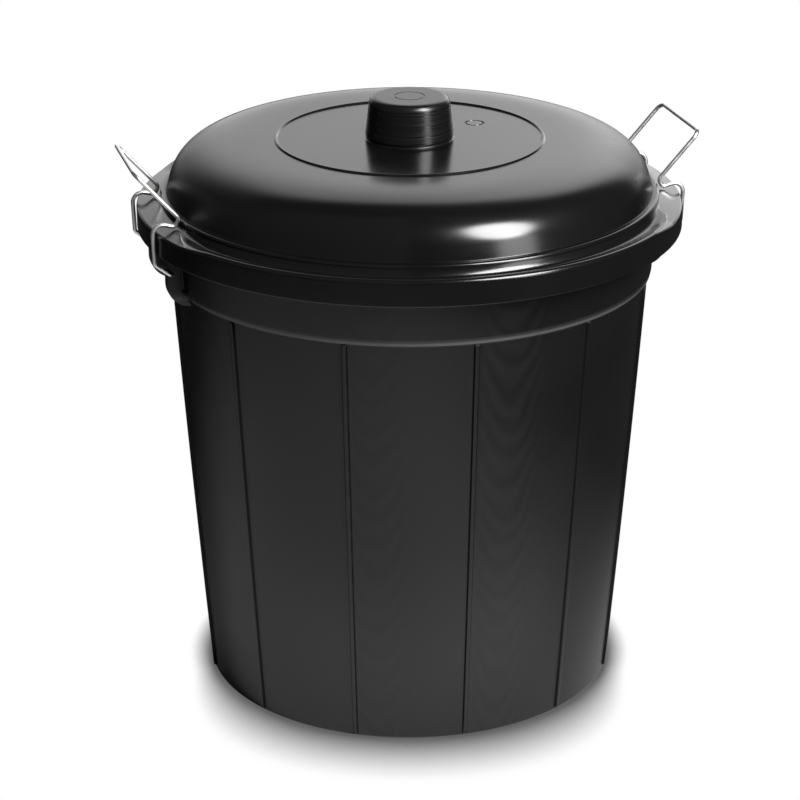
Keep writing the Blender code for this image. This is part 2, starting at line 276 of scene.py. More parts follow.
# Columns of flow marks on the tub's wall: their angles round it, and how far each reaches
FLOW_ANGLES = (math.radians(-113.6), math.radians(-81.3))
FLOW_REACH = math.radians(10)
FLOW_PITCH = 0.026
FLOW_SAG = 2.2
FLOW_BEND = 0.035

# Camera, whose azimuths below are counted from the way it looks, to its right
CAMERA_TURN = math.radians(-15.3)
CAMERA_DISTANCE = 2.3956
CAMERA_ELEVATION = math.radians(21.328)
CAMERA_PITCH = math.radians(21.657)
CAMERA_YAW = math.radians(0.208)
CAMERA_ROLL = math.radians(0.045)
CAMERA_AIM_HEIGHT = 0.2515
CAMERA_LENS = 124.18
SENSOR = 36

# Studio: where each part of the surround fades, in degrees, and how bright it is
CARD_LEFT = (-44, -12)
CARD_RIGHT = (24, 46)
CARD_TOP = (42, 58)
CARD_BRIGHTENS = (-3, 16)
CARD_BRIGHTNESS = (1.12, 2.0)
SIDE_STARTS = (60, 100)
SIDE_ENDS = (120, 150)
SIDE_GLOW = 0.07
LEFT_ROOM_ENDS = (-110, -50)
LEFT_ROOM_GLOW = 0.09
ROOM_GLOW = 0.03

# Lamps: azimuth, elevation, distance, width, height and brightness, aimed at a height on the axis
KEY = (133.4, 36.4, 2.6, 1.24, 1.6, 26)
KEY_BELOW = (131.5, 10, 2.6, 0.8, 1.5, 5.0)
LAMP_AIM_HEIGHT = 0.4

# Floor: its half width, the pool of light before the object and the reach of the contact shadow
FLOOR_REACH = 9.0
FLOOR_DROP = 0.0002
POOL_FADE = (0.45, 1.55)
POOL_BRIGHTNESS = (0.46, 0.03)
FOOT_FADE = (0.28, 0.5)
FOOT_BRIGHTNESS = 0.3
FOOT_FRONT = (-0.28, -0.1)
POOL_CENTRE = (-0.15, -0.30)
POOL_RIGHT = 0.56
POOL_LEFT = 0.92
POOL_BACK = 0.51
POOL_FRONT = 0.78
SHADOW_SIDE = 0.022
SHADOW_FRONT = 0.08
SHADOW_SIDE_END = 0.2
SHADOW_OPEN_FROM = 0.5
SHADOW_OPEN_GAIN = 2.05
SHADOW_POWER = 1.2
SHADOW_GAIN = 0.90
SHADOW_FLOOR = 0.12


# Shapes

def half_angle(points, i):
    """Half of the angle that a path makes at one of its corners."""
    return (points[i - 1] - points[i]).angle(points[i + 1] - points[i]) / 2


def rounded(corners):
    """A path through corners of (point, radius, steps), each turned into an arc.

    Where there is room, a point just outside each end of an arc keeps the shading of the flat beside it.
    """
    points = [Vector(point) for point, _, _ in corners]
    inside = range(1, len(points) - 1)
    used = [0.0] * len(points)
    for i in inside:
        if corners[i][1]:
            used[i] = corners[i][1] / math.tan(half_angle(points, i))
    path = []
    for i, (_, radius, steps) in enumerate(corners):
        here = points[i]
        if not used[i]:
            path.append(here)
            continue
        back = (points[i - 1] - here).normalized()
        on = (points[i + 1] - here).normalized()
        middle = here + (back + on).normalized() * radius / math.sin(half_angle(points, i))
        start = here + back * used[i] - middle
        end = here + on * used[i] - middle
        turn = start.angle(end)
        if (points[i - 1] - here).length - used[i] - used[i - 1] > 3 * EDGE_HOLD:
            path.append(middle + start + back * EDGE_HOLD)
        for n in range(steps + 1):
            share = n / steps
            ahead = math.sin(turn * share) / math.sin(turn)
            behind = math.sin(turn * (1 - share)) / math.sin(turn)
            path.append(middle + start * behind + end * ahead)
        if (points[i + 1] - here).length - used[i] - used[i + 1] > 3 * EDGE_HOLD:
            path.append(middle + end + on * EDGE_HOLD)
    return path


def outline(*corners):
    """Rounded (radius, height) points from corners of (r, z) or (r, z, rounding, steps)."""
    full = [((c[0], c[1], 0), *(c[2:] or (0, 0))) for c in corners]
    return [(point.x, point.y) for point in rounded(full)]


def turned(name, columns, outline_at):
    """A piece from an outline that runs from axis to axis, one outline at each angle."""
    outlines = [outline_at(angle) for angle in columns]
    steps = len(outlines[0]) - 2
    turns = len(outlines)
    points = [(0, 0, outlines[0][0][1]), (0, 0, outlines[0][-1][1])]
    for angle, around in zip(columns, outlines):
        points += [(r * math.cos(angle), r * math.sin(angle), z) for r, z in around[1:-1]]
    faces = []
    for n in range(turns):
        here, after = 2 + n * steps, 2 + (n + 1) % turns * steps
        faces.append((0, here, after))
        faces += [(here + k, here + k + 1, after + k + 1, after + k) for k in range(steps - 1)]
        faces.append((here + steps - 1, 1, after + steps - 1))
    mesh = bpy.data.meshes.new(name)
    mesh.from_pydata(points, [], faces)
    return finished(name, mesh)


def finished(name, mesh):
    """An object in the scene with outward faces, smooth except at its creases."""
    shape = bmesh.new()
    shape.from_mesh(mesh)
    bmesh.ops.recalc_face_normals(shape, faces=shape.faces)
    shape.to_mesh(mesh)
    shape.free()
    mesh.shade_smooth()
    mesh.set_sharp_from_angle(angle=CREASE)
    made = bpy.data.objects.new(name, mesh)
    bpy.context.scene.collection.objects.link(made)
    return made


def prism(points, low, high):
    """A closed shape of an (x, z) outline pushed along Y from low to high."""
    solid = bmesh.new()
    face = solid.faces.new([solid.verts.new((x, low, z)) for x, z in points])
    made = bmesh.ops.extrude_face_region(solid, geom=[face])["geom"]
    moved = [item for item in made if isinstance(item, bmesh.types.BMVert)]
    bmesh.ops.translate(solid, verts=moved, vec=(0, high - low, 0))
    bmesh.ops.recalc_face_normals(solid, faces=solid.faces)
    return solid


def cut(target, cutter):
    """Cuts a helper out of an object, in its mesh, and removes the helper."""
    modifier = target.modifiers.new("cut", "BOOLEAN")
    modifier.operation = "DIFFERENCE"
    modifier.solver = "EXACT"
    modifier.object = cutter
    made = target.evaluated_get(bpy.context.evaluated_depsgraph_get())
    mesh = bpy.data.meshes.new_from_object(made)
    target.modifiers.clear()
    target.data = mesh
    mesh.shade_smooth()
    mesh.set_sharp_from_angle(angle=CREASE)
    bpy.data.objects.remove(cutter, do_unlink=True)


# Tub

def wall_radius(z):
    """The tub's outer radius at a height: a taper that bows out a little between foot and lip."""
    share = min(1, z / LIP_HEIGHT)
    slope = (COLLAR_RADIUS - BASE_RADIUS) / LIP_HEIGHT
    return BASE_RADIUS + slope * z + WALL_BOW * 4 * share * (1 - share)


def wall_points(proud, low, high):
    """Points up the wall between two heights, this far proud of it."""
    heights = [low + (high - low) * n / WALL_STEPS for n in range(WALL_STEPS + 1)]
    return [(wall_radius(z) + proud, z) for z in heights]


def tub_columns():
    """Angles round the tub, with the share of a rib's height at each."""
    pitch = math.tau / RIB_COUNT
    columns = {}
    for rib in range(RIB_COUNT):
        for offset, share in RIB_PROFILE:
            columns[rib * pitch + offset / COLLAR_RADIUS] = share
        edge = RIB_PROFILE[-1][0] / COLLAR_RADIUS
        for n in range(1, TUB_COLUMNS_BETWEEN_RIBS):
            columns[rib * pitch + edge + (pitch - 2 * edge) * n / TUB_COLUMNS_BETWEEN_RIBS] = 0
    return columns


def tub_outline(raised):
    """The tub's outline from its axis below, over its outside and rim, to its axis on the floor inside."""
    proud = raised * RIB_PROUD
    foot_inner = wall_radius(0) - BASE_EDGE_ROUND - FOOT_RING_WIDTH
    rib_top = LIP_HEIGHT - RIB_RUN_OUT
    lip_top = LIP_HEIGHT + LIP_FACE
    collar_inside = LIP_PROUD - TUB_WALL
    under_rim = RIM_HEIGHT - RIM_WALL
    floor = FOOT_RECESS + FLOOR_THICKNESS
    rib_foot = RIB_BOTTOM + RIB_RUN_OUT
    return outline(
        (0, FOOT_RECESS),
        (foot_inner - FOOT_RECESS, FOOT_RECESS),
        (foot_inner, 0, FOOT_EDGE_ROUND, 4),
        (wall_radius(0), 0, BASE_EDGE_ROUND, 6),
        (wall_radius(RIB_BOTTOM), RIB_BOTTOM),
        *wall_points(proud, rib_foot, rib_top),
        (wall_radius(LIP_HEIGHT), LIP_HEIGHT),
        (wall_radius(LIP_HEIGHT) + LIP_PROUD - LIP_CHAMFER, LIP_HEIGHT + SEAT_GAP, LIP_EDGE_ROUND, 7),
        (wall_radius(lip_top) + LIP_PROUD, lip_top, LIP_BLEND, 4),
        (wall_radius(under_rim) + LIP_PROUD, under_rim, RIM_ROUND, 4),
        (RIM_RADIUS - RIM_WALL, under_rim),
        (RIM_RADIUS - RIM_WALL, RIM_HEIGHT - RIM_DROP),
        (RIM_RADIUS, RIM_HEIGHT - RIM_DROP),
        (RIM_RADIUS, RIM_HEIGHT, RIM_ROUND, 5),
        (wall_radius(RIM_HEIGHT) + collar_inside, RIM_HEIGHT, MOUTH_ROUND, 4),
        (wall_radius(lip_top) + collar_inside, lip_top),
        *reversed(wall_points(-TUB_WALL, floor + FLOOR_ROUND * 2, LIP_HEIGHT)),
        (wall_radius(floor) - TUB_WALL, floor, FLOOR_ROUND, 6),
        (0, floor),
    )


def make_tub():
    """The tub in one wall, with its ribs, foot ring, lip and rim."""
    columns = tub_columns()
    return turned("tub", sorted(columns), lambda angle: tub_outline(columns[angle]))


def lug_outlines(across):
    """The (x, z) outlines of a lug's plate with its foot and of the web behind it, beside the X axis."""
    bottom = PIVOT_Z - LUG_BELOW_PIVOT
    foot_top = bottom + LUG_FOOT_HEIGHT
    top = RIM_HEIGHT - RIM_WALL / 2
    inner = PIVOT_X - LUG_DEPTH_IN
    wall = chord(wall_radius(bottom), across) - LUG_SINK
    plate = outline(
        (wall, bottom),
        (PIVOT_X + LUG_OUTER_MARGIN, bottom, LUG_ROUND, 14),
        (PIVOT_X + LUG_OUTER_MARGIN, top),
        (inner, top),
        (inner, foot_top, LUG_CORNER, 4),
        (wall, foot_top),
    )
    web = [(wall, foot_top - LUG_ROUND / 4), (inner + LUG_SINK, foot_top - LUG_ROUND / 4)]
    web += [(inner + LUG_SINK, top), (wall, top)]
    return plate, web


def bore_outline():
    """The bore's circle about the hinge axis."""
    turns = [math.tau * n / BORE_SIDES for n in range(BORE_SIDES)]
    radius = WIRE_RADIUS + BORE_CLEARANCE
    return [(PIVOT_X + radius * math.cos(a), PIVOT_Z + radius * math.sin(a)) for a in turns]


def lug_piece(name, points, side, low, high, rounding):
    """A prism of an outline with rounded edges, on one side of the tub."""
    shape = prism([(side * x, z) for x, z in points], low, high)
    if rounding:
        rim = [e for e in shape.edges if abs(e.verts[0].co.y - e.verts[1].co.y) < SEAT_GAP]
        bmesh.ops.bevel(shape, geom=rim, offset=rounding, segments=4, profile=0.5, affect="EDGES")
    mesh = bpy.data.meshes.new(name)
    shape.to_mesh(mesh)
    shape.free()
    return finished(name, mesh)


def make_lug(name, side, end):
    """One hinge lug under the rim: a plate with a foot and a bore, and the web that ties it to the collar."""
    outer_face = CLIP_HALF_WIDTH - PIN_BEND - SEAT_GAP
    inner_face = outer_face - LUG_THICKNESS
    middle = (outer_face + inner_face) / 2
    plate_outline, web_outline = lug_outlines(outer_face)
    low, high = sorted((end * inner_face, end * outer_face))
    web_low, web_high = end * middle - WEB_THICKNESS / 2, end * middle + WEB_THICKNESS / 2
    plate = lug_piece(name, plate_outline, side, low, high, LUG_EDGE_ROUND)
    hole = lug_piece("bore", bore_outline(), side, low - LUG_THICKNESS, high + LUG_THICKNESS, 0)
    cut(plate, hole)
    web = lug_piece(name.replace("lug", "web"), web_outline, side, web_low, web_high, 0)
    return plate, web


# Lid

def landing_share(angle, along):
    """1 on a landing, 0 in the trough. along runs from 0 at the ledge to 1 at the outer edge."""
    from_middle = abs((angle - LID_TURN + math.pi / 2) % math.pi - math.pi / 2)
    edge = LANDING_INNER_ANGLE + (LANDING_OUTER_ANGLE - LANDING_INNER_ANGLE) * along
    return min(1, max(0, (edge + LANDING_SLOPE_ANGLE - from_middle) / LANDING_SLOPE_ANGLE))


def trough_points(steps, rise_steps):
    """(reach, height) across the trough: a band under the ledge, a tighter arc to the bottom, a soft rise."""
    points = []
    for n in range(steps):
        turn = BAND_ANGLE + (TROUGH_ANGLE - BAND_ANGLE) * n / steps
        reach = BAND_ROUND * (math.sin(BAND_ANGLE) - math.sin(turn))
        points.append((reach, BAND_END + BAND_ROUND * (math.cos(TROUGH_ANGLE) - math.cos(turn))))
    for n in range(steps + 1):
        turn = TROUGH_ANGLE * (1 - n / steps)
        reach = TROUGH_MIDDLE - TROUGH_ROUND * math.sin(turn)
        points.append((reach, TROUGH_TOP + TROUGH_ROUND * (1 - math.cos(turn))))
    for n in range(1, rise_steps + 1):
        share = n / rise_steps
        reach = TROUGH_MIDDLE + (FLANGE_REACH - TROUGH_MIDDLE) * share
        points.append((reach, TROUGH_TOP + TROUGH_RISE * (1 - math.cos(math.pi * share)) / 2))
    return points


def flange_points(angle, wall, steps, rise_steps):
    """Points across the flange, from the ledge's foot outward, on its top or a wall below it."""
    points = []
    for reach, trough in trough_points(steps, rise_steps):
        along = reach / FLANGE_REACH
        landing = LANDING_TOP - LANDING_FALL * along
        height = trough + (landing - trough) * landing_share(angle, along)
        points.append((FLANGE_INNER_RADIUS + reach - wall * (1 - along), height - wall))
    return points


def shoulder_points(wall, steps):
    """Points down the dome's shoulder, from the panel to just above the ledge, on it or a wall inside."""
    reach = DOME_RADIUS - FOOT_FLARE - PANEL_RADIUS - wall
    rise = DOME_HEIGHT + DOME_SINK
    flare_top = LEDGE_HEIGHT + FOOT_FLARE_HEIGHT
    points = []
    for n in range(1, steps):
        turn = math.pi / 2 * (n / steps) ** SHOULDER_CROWDING
        r = PANEL_RADIUS + reach * math.sin(turn) ** SHOULDER_REACH_POWER
        z = PANEL_HEIGHT - wall - rise * (1 - math.cos(turn) ** SHOULDER_RISE_POWER)
        flare = max(0, flare_top - z) / FOOT_FLARE_HEIGHT
        if z > LEDGE_HEIGHT + FOOT_FILLET:
            points.append((r + FOOT_FLARE * flare**FOOT_FLARE_POWER, z))
    return points


def groove(radius, height, width, depth):
    """Points across a rounded groove in a flat top, outward."""
    shares = ((-0.5, 0), (-0.38, 0.25), (-0.2, 0.8), (0, 1), (0.2, 0.8), (0.38, 0.25), (0.5, 0))
    return [(radius + width * across, height - depth * down) for across, down in shares]


def lid_outline(angle):
    """The lid's outline at one angle, from the knob's top over its outside to the knob's underside."""
    top = flange_points(angle, 0, *FLANGE_TOP_STEPS)
    under = flange_points(angle, LID_WALL, *FLANGE_UNDER_STEPS)
    bead_top = PANEL_HEIGHT + BEAD_HEIGHT
    bead_end = PANEL_RADIUS + BEAD_WIDTH
    knob_foot = KNOB_BASE_RADIUS - KNOB_FOOT_INSET
    inner_skirt = SKIRT_RADIUS - LID_WALL
    return outline(
        (0, KNOB_TOP_HEIGHT),
        (KNOB_RING_RADIUS / 2, KNOB_TOP_HEIGHT),
        *groove(KNOB_RING_RADIUS, KNOB_TOP_HEIGHT, KNOB_RING_WIDTH, KNOB_RING_DEPTH),
        (KNOB_TOP_RADIUS, KNOB_TOP_HEIGHT, KNOB_ROUND, 8),
        (KNOB_BASE_RADIUS, PANEL_HEIGHT + KNOB_FOOT_HEIGHT, KNOB_FOOT_ROUND, 5),
        (knob_foot, PANEL_HEIGHT, KNOB_FILLET, 5),
        *[(PANEL_RADIUS * share, PANEL_HEIGHT) for share in PANEL_LOOPS],
        (PANEL_RADIUS, PANEL_HEIGHT),
        (PANEL_RADIUS + BEAD_SLOPE, bead_top, BEAD_ROUND, 4),
        (bead_end - BEAD_SLOPE, bead_top, BEAD_ROUND, 4),
        (bead_end, PANEL_HEIGHT),
        *[point for point in shoulder_points(0, SHOULDER_TOP_STEPS) if point[0] > bead_end + BEAD_SLOPE],
        (DOME_RADIUS, LEDGE_HEIGHT, FOOT_FILLET, 5),
        (LEDGE_RADIUS, LEDGE_HEIGHT, LEDGE_ROUND, 4),
        *top,
        (SKIRT_RADIUS, top[-1][1], FLANGE_ROUND, 8),
        (SKIRT_RADIUS, SKIRT_BOTTOM, SKIRT_EDGE_ROUND, 4),
        (inner_skirt, SKIRT_BOTTOM, SKIRT_EDGE_ROUND, 4),
        (inner_skirt, under[-1][1]),
        *reversed(under),
        (LEDGE_RADIUS - LID_WALL, LEDGE_HEIGHT - LID_WALL),
        (DOME_RADIUS - LID_WALL, LEDGE_HEIGHT - LID_WALL),
        *reversed(shoulder_points(LID_WALL, SHOULDER_UNDER_STEPS)[1:]),
        (PANEL_RADIUS * PANEL_LOOPS[-1], PANEL_HEIGHT - LID_WALL),
        (knob_foot - LID_WALL, PANEL_HEIGHT - LID_WALL),
        (KNOB_TOP_RADIUS - LID_WALL, KNOB_TOP_HEIGHT - LID_WALL, KNOB_ROUND - LID_WALL, 4),
        (0, KNOB_TOP_HEIGHT - LID_WALL),
    )


def lid_columns():
    """Angles round the lid, about one degree apart and closer where a landing ends."""
    first = LANDING_INNER_ANGLE - LID_COLUMN_PITCH
    last = LANDING_OUTER_ANGLE + LANDING_SLOPE_ANGLE + LID_COLUMN_PITCH
    quarter = list(np.arange(0, first, LID_COLUMN_PITCH))
    quarter += list(np.arange(first, last, LANDING_COLUMN_PITCH))
    quarter += list(np.linspace(last, math.pi / 2, TROUGH_COLUMNS))
    half = sorted({-a for a in quarter[1:-1]} | set(quarter))
    return [LID_TURN + side + a for side in (0, math.pi) for a in half]


def mark_ring():
    """A thin round ring, half sunk in the panel, that cuts the mould's small mark."""
    mark = bpy.data.meshes.new("mark")
    ring = bmesh.new()
    rings = []
    for n in range(MARK_TURNS):
        a = math.tau * n / MARK_TURNS
        around = []
        for k in range(MARK_SIDES):
            b = math.tau * k / MARK_SIDES
            r = MARK_RADIUS + MARK_WIDTH / 2 * math.cos(b)
            place = (MARK_PLACE[0] + r * math.cos(a), MARK_PLACE[1] + r * math.sin(a))
            around.append(ring.verts.new((*place, PANEL_HEIGHT + MARK_WIDTH / 2 * math.sin(b))))
        rings.append(around)
    for here, after in zip(rings, rings[1:] + rings[:1]):
        for k in range(MARK_SIDES):
            ring.faces.new((here[k], here[k - 1], after[k - 1], after[k]))
    ring.to_mesh(mark)
    ring.free()
    return finished("mark", mark)


def make_lid():
    """The lid with its knob in one wall, and the small ring that the mould leaves in its panel."""
    lid = turned("lid_shell", lid_columns(), lid_outline)
    cut(lid, mark_ring())
    return lid


# Wire clips

def chord(radius, across):
    """How far along X a circle of this radius is, at a distance across from X."""
    return math.sqrt(radius**2 - across**2)


def clip_corners():
    """The wire's corners on the +Y side from its pin to the grip, about the hinge axis."""
    seat_radius = SKIRT_RADIUS - CLIP_SEAT_INSET
    along = (seat_radius - FLANGE_INNER_RADIUS) / FLANGE_REACH
    steepness = math.atan(LANDING_FALL / FLANGE_REACH)
    seat_x = chord(seat_radius, CLIP_HALF_WIDTH)
    seat_z = LANDING_TOP - LANDING_FALL * along
    seat_z += (WIRE_RADIUS + SEAT_GAP) / math.cos(steepness)
    arm_x, arm_z = seat_x - CLIP_V_RUN, seat_z + CLIP_V_RISE
    grip_x = arm_x + ARM_LENGTH * math.cos(ARM_SLOPE)
    grip_z = arm_z + ARM_LENGTH * math.sin(ARM_SLOPE)
    hoop_x = chord(SKIRT_RADIUS + HOOP_CLEARANCE + WIRE_RADIUS, CLIP_HALF_WIDTH)
    run_x = chord(SKIRT_RADIUS + RUN_CLEARANCE + WIRE_RADIUS, CLIP_HALF_WIDTH)
    return (
        (0, 0, PIN_BEND, 8),
        (run_x - PIVOT_X, SKIRT_BOTTOM - RUN_DROP - PIVOT_Z, RUN_BEND, 8),
        (hoop_x - PIVOT_X, seat_z + HOOP_RISE - PIVOT_Z, HOOP_BEND, 14),
        (seat_x - PIVOT_X, seat_z - PIVOT_Z, SEAT_BEND, 10),
        (arm_x - PIVOT_X, arm_z - PIVOT_Z, ARM_BEND, 10),
        (grip_x - PIVOT_X, grip_z - PIVOT_Z, GRIP_BEND, 12),
    )


def wire_path():
    """The wire's middle line from pin end to pin end, about the hinge axis."""
    half = [((x, CLIP_HALF_WIDTH, z), bend, steps) for x, z, bend, steps in clip_corners()]
    other = [((x, -y, z), bend, steps) for (x, y, z), bend, steps in reversed(half)]
    pin_end = CLIP_HALF_WIDTH - PIN_BEND - PIN_REACH
    ends = [[((0, end * pin_end, 0), 0, 0)] for end in (1, -1)]
    return rounded(ends[0] + half + other + ends[1])


def make_clip(name, side):
    """One bent wire as a round tube along its middle line, with its cut ends rounded off."""
    path = wire_path()
    tangents = [(b - a).normalized() for a, b in zip(path, path[1:])]
    along = [tangents[0]] + [(a + b).normalized() for a, b in zip(tangents, tangents[1:])]
    along.append(tangents[-1])
    sections = []
    for end, ahead in ((0, 1), (-1, -1)):
        cap = []
        for depth in CAP_DEPTHS:
            bulge = math.sqrt(max(0.0, 1 - (1 - depth / CAP_DEPTHS[-1]) ** 2))
            share = bulge * (1 - CAP_END_SHARE) + CAP_END_SHARE
            cap.append((path[end] + along[end] * ahead * WIRE_RADIUS * depth, share))
        sections.append(cap)
    middle = [(point, 1.0) for point in path[1:-1]]
    stations = sections[0] + middle + list(reversed(sections[1]))
    directions = [along[0]] * len(CAP_DEPTHS) + along[1:-1] + [along[-1]] * len(CAP_DEPTHS)
    across = Vector((1, 0, 0))
    wire = bmesh.new()
    rings = []
    before = directions[0]
    for (place, share), direction in zip(stations, directions):
        across = before.rotation_difference(direction) @ across
        across = (across - direction * across.dot(direction)).normalized()
        up = direction.cross(across)
        before = direction
        ring = []
        for k in range(WIRE_SIDES):
            a = math.tau * k / WIRE_SIDES
            offset = across * math.cos(a) + up * math.sin(a)
            ring.append(wire.verts.new(place + offset * WIRE_RADIUS * share))
        rings.append(ring)
    for here, after in zip(rings, rings[1:]):
        for k in range(WIRE_SIDES):
            wire.faces.new((here[k - 1], here[k], after[k], after[k - 1]))
    wire.faces.new(rings[0])
    wire.faces.new(rings[-1])
    spin = Matrix.Rotation(0 if side > 0 else math.pi, 4, "Z")
    to_pivot = Matrix.Translation((side * PIVOT_X, 0, PIVOT_Z))
    bmesh.ops.transform(wire, matrix=to_pivot @ spin, verts=wire.verts)
    mesh = bpy.data.meshes.new(name)
    wire.to_mesh(mesh)
    wire.free()
    return finished(name, mesh)


# Materials

class Nodes:
    """A material's node tree, with short calls to add and link nodes."""

    def __init__(self, tree):
        self.tree = tree

    def add(self, kind, inputs=None, **settings):
        """A node with settings, and inputs by name or number: a value, or another node's socket."""
        node = self.tree.nodes.new(kind)
        for name, value in settings.items():
            setattr(node, name, value)
        for key, value in (inputs or {}).items():
            if isinstance(value, bpy.types.NodeSocket):
                self.tree.links.new(value, node.inputs[key])
            else:
                node.inputs[key].default_value = value
        return node

    def math(self, operation, *values):
        """A Math node's result."""
        return self.add("ShaderNodeMath", dict(enumerate(values)), operation=operation).outputs[0]

    def length(self, a, b):
        """The length of a flat vector."""
        squares = self.math("ADD", self.math("MULTIPLY", a, a), self.math("MULTIPLY", b, b))
        return self.math("SQRT", squares)

    def ramp(self, value, low, high, to_low, to_high):
        """A value carried smoothly from one range to another."""
        inputs = {"Value": value, "From Min": low, "From Max": high, "To Min": to_low, "To Max": to_high}
        return self.add("ShaderNodeMapRange", inputs, interpolation_type="SMOOTHSTEP").outputs[0]

    def noise(self, where, scale, detail=2.0):
        """A noise pattern's value."""
        inputs = {"Vector": where, "Scale": scale, "Detail": detail}
        return self.add("ShaderNodeTexNoise", inputs).outputs[0]

    def stretched(self, where, scale):
        """Coordinates with each axis scaled."""
        return self.add("ShaderNodeMapping", {"Vector": where, "Scale": scale}).outputs[0]


def new_material(name):
    """An empty material with its nodes, its surface shader and object coordinates."""
    material = bpy.data.materials.new(name)
    material.use_nodes = True
    nodes = Nodes(material.node_tree)
    shader = material.node_tree.nodes["Principled BSDF"]
    where = nodes.add("ShaderNodeTexCoord").outputs["Object"]
    return material, nodes, shader, where


def connect(nodes, value, socket):
    """Links a socket into another."""
    nodes.tree.links.new(value, socket)


def lid_plastic():
    """Glossy black polypropylene with a faint ripple and scuffs, satin on the knob, duller by the clips."""
    material, nodes, shader, where = new_material("lid_plastic")
    x, y, _ = nodes.add("ShaderNodeSeparateXYZ", {0: where}).outputs
    radius = nodes.length(x, y)
    on_knob = nodes.ramp(radius, KNOB_BASE_RADIUS, KNOB_BASE_RADIUS + SATIN_EDGE, 1.0, 0.0)
    cloud = nodes.noise(where, LID_CLOUD_SCALE, 3.0)
    scuffs = nodes.noise(nodes.stretched(where, (SCUFF_SCALE,) * 3), 1.0, 6.0)
    scuffed = nodes.ramp(scuffs, 0.55, 0.8, 0.0, SCUFF_ROUGHNESS)
    gloss = nodes.math("ADD", nodes.ramp(cloud, 0.3, 0.7, *LID_ROUGHNESS), scuffed)
    lathe = nodes.noise(nodes.stretched(where, LATHE_STRETCH), 1.0, 3.0)
    satin = nodes.math("MULTIPLY", on_knob, nodes.ramp(lathe, 0.38, 0.62, 0.0, SATIN_ROUGHNESS))
    along = nodes.math("ARCTAN2", nodes.math("ABSOLUTE", y), nodes.math("ABSOLUTE", x))
    by_clip = nodes.ramp(along, CLIP_RUB_INNER, CLIP_RUB_OUTER, RUB, 0.0)
    by_clip = nodes.math("MULTIPLY", by_clip, nodes.ramp(radius, *RUB_RADII, 0.0, 1.0))
    on_dome = nodes.ramp(radius, DOME_RADIUS, DOME_RADIUS + RUB_END, 1.0, 0.0)
    by_clip = nodes.math("MULTIPLY", by_clip, on_dome)
    rough = nodes.math("ADD", nodes.math("ADD", gloss, satin), by_clip)
    connect(nodes, rough, shader.inputs["Roughness"])
    tint = nodes.add("ShaderNodeMix", data_type="RGBA")
    set_mix(nodes, tint, cloud, *LID_COLOURS)
    connect(nodes, tint.outputs["Result"], shader.inputs["Base Color"])
    ripple = nodes.math("MULTIPLY", nodes.noise(where, RIPPLE_SCALE, 2.0), RIPPLE_DEPTH)
    turning = nodes.math("MULTIPLY", nodes.math("MULTIPLY", lathe, on_knob), LATHE_DEPTH)
    height = nodes.math("ADD", ripple, turning)
    bump = nodes.add("ShaderNodeBump", {"Height": height, "Distance": LID_RELIEF, "Strength": 0.5})
    connect(nodes, bump.outputs[0], shader.inputs["Normal"])
    return material


def set_mix(nodes, mix, factor, first, second):
    """Sets a colour Mix node's factor and its two colours."""
    nodes.tree.links.new(factor, mix.inputs[0])
    mix.inputs[6].default_value = first
    mix.inputs[7].default_value = second


def flow_marks(nodes, where, z, angle):
    """Columns of faint nested arcs on the wall, bent a little by a noise, from -1 to 1."""
    bend = nodes.math("MULTIPLY", nodes.noise(nodes.stretched(where, (22, 22, 22)), 1.0, 3.0), FLOW_BEND)
    marks = nodes.math("MULTIPLY", nodes.noise(where, 14.0, 3.0), 0.3)
    for flow_angle in FLOW_ANGLES:
        aside = nodes.math("SUBTRACT", angle, flow_angle)
        sag = nodes.math("MULTIPLY", nodes.math("MULTIPLY", aside, aside), FLOW_SAG)
        height = nodes.math("ADD", nodes.math("SUBTRACT", z, sag), bend)
        wave = nodes.math("SINE", nodes.math("MULTIPLY", height, math.tau / FLOW_PITCH))
        near = nodes.ramp(nodes.math("ABSOLUTE", aside), FLOW_REACH / 3, FLOW_REACH, 1.0, 0.0)
        marks = nodes.math("ADD", marks, nodes.math("MULTIPLY", wave, near))
    return marks


def rib_distance(nodes, angle):
    """How far along the wall a point is from the middle of the nearest rib."""
    turns = nodes.math("ADD", nodes.math("MULTIPLY", angle, RIB_COUNT / math.tau), 0.5)
    share = nodes.math("ABSOLUTE", nodes.math("SUBTRACT", nodes.math("FRACT", turns), 0.5))
    return nodes.math("MULTIPLY", share, math.tau / RIB_COUNT * COLLAR_RADIUS)


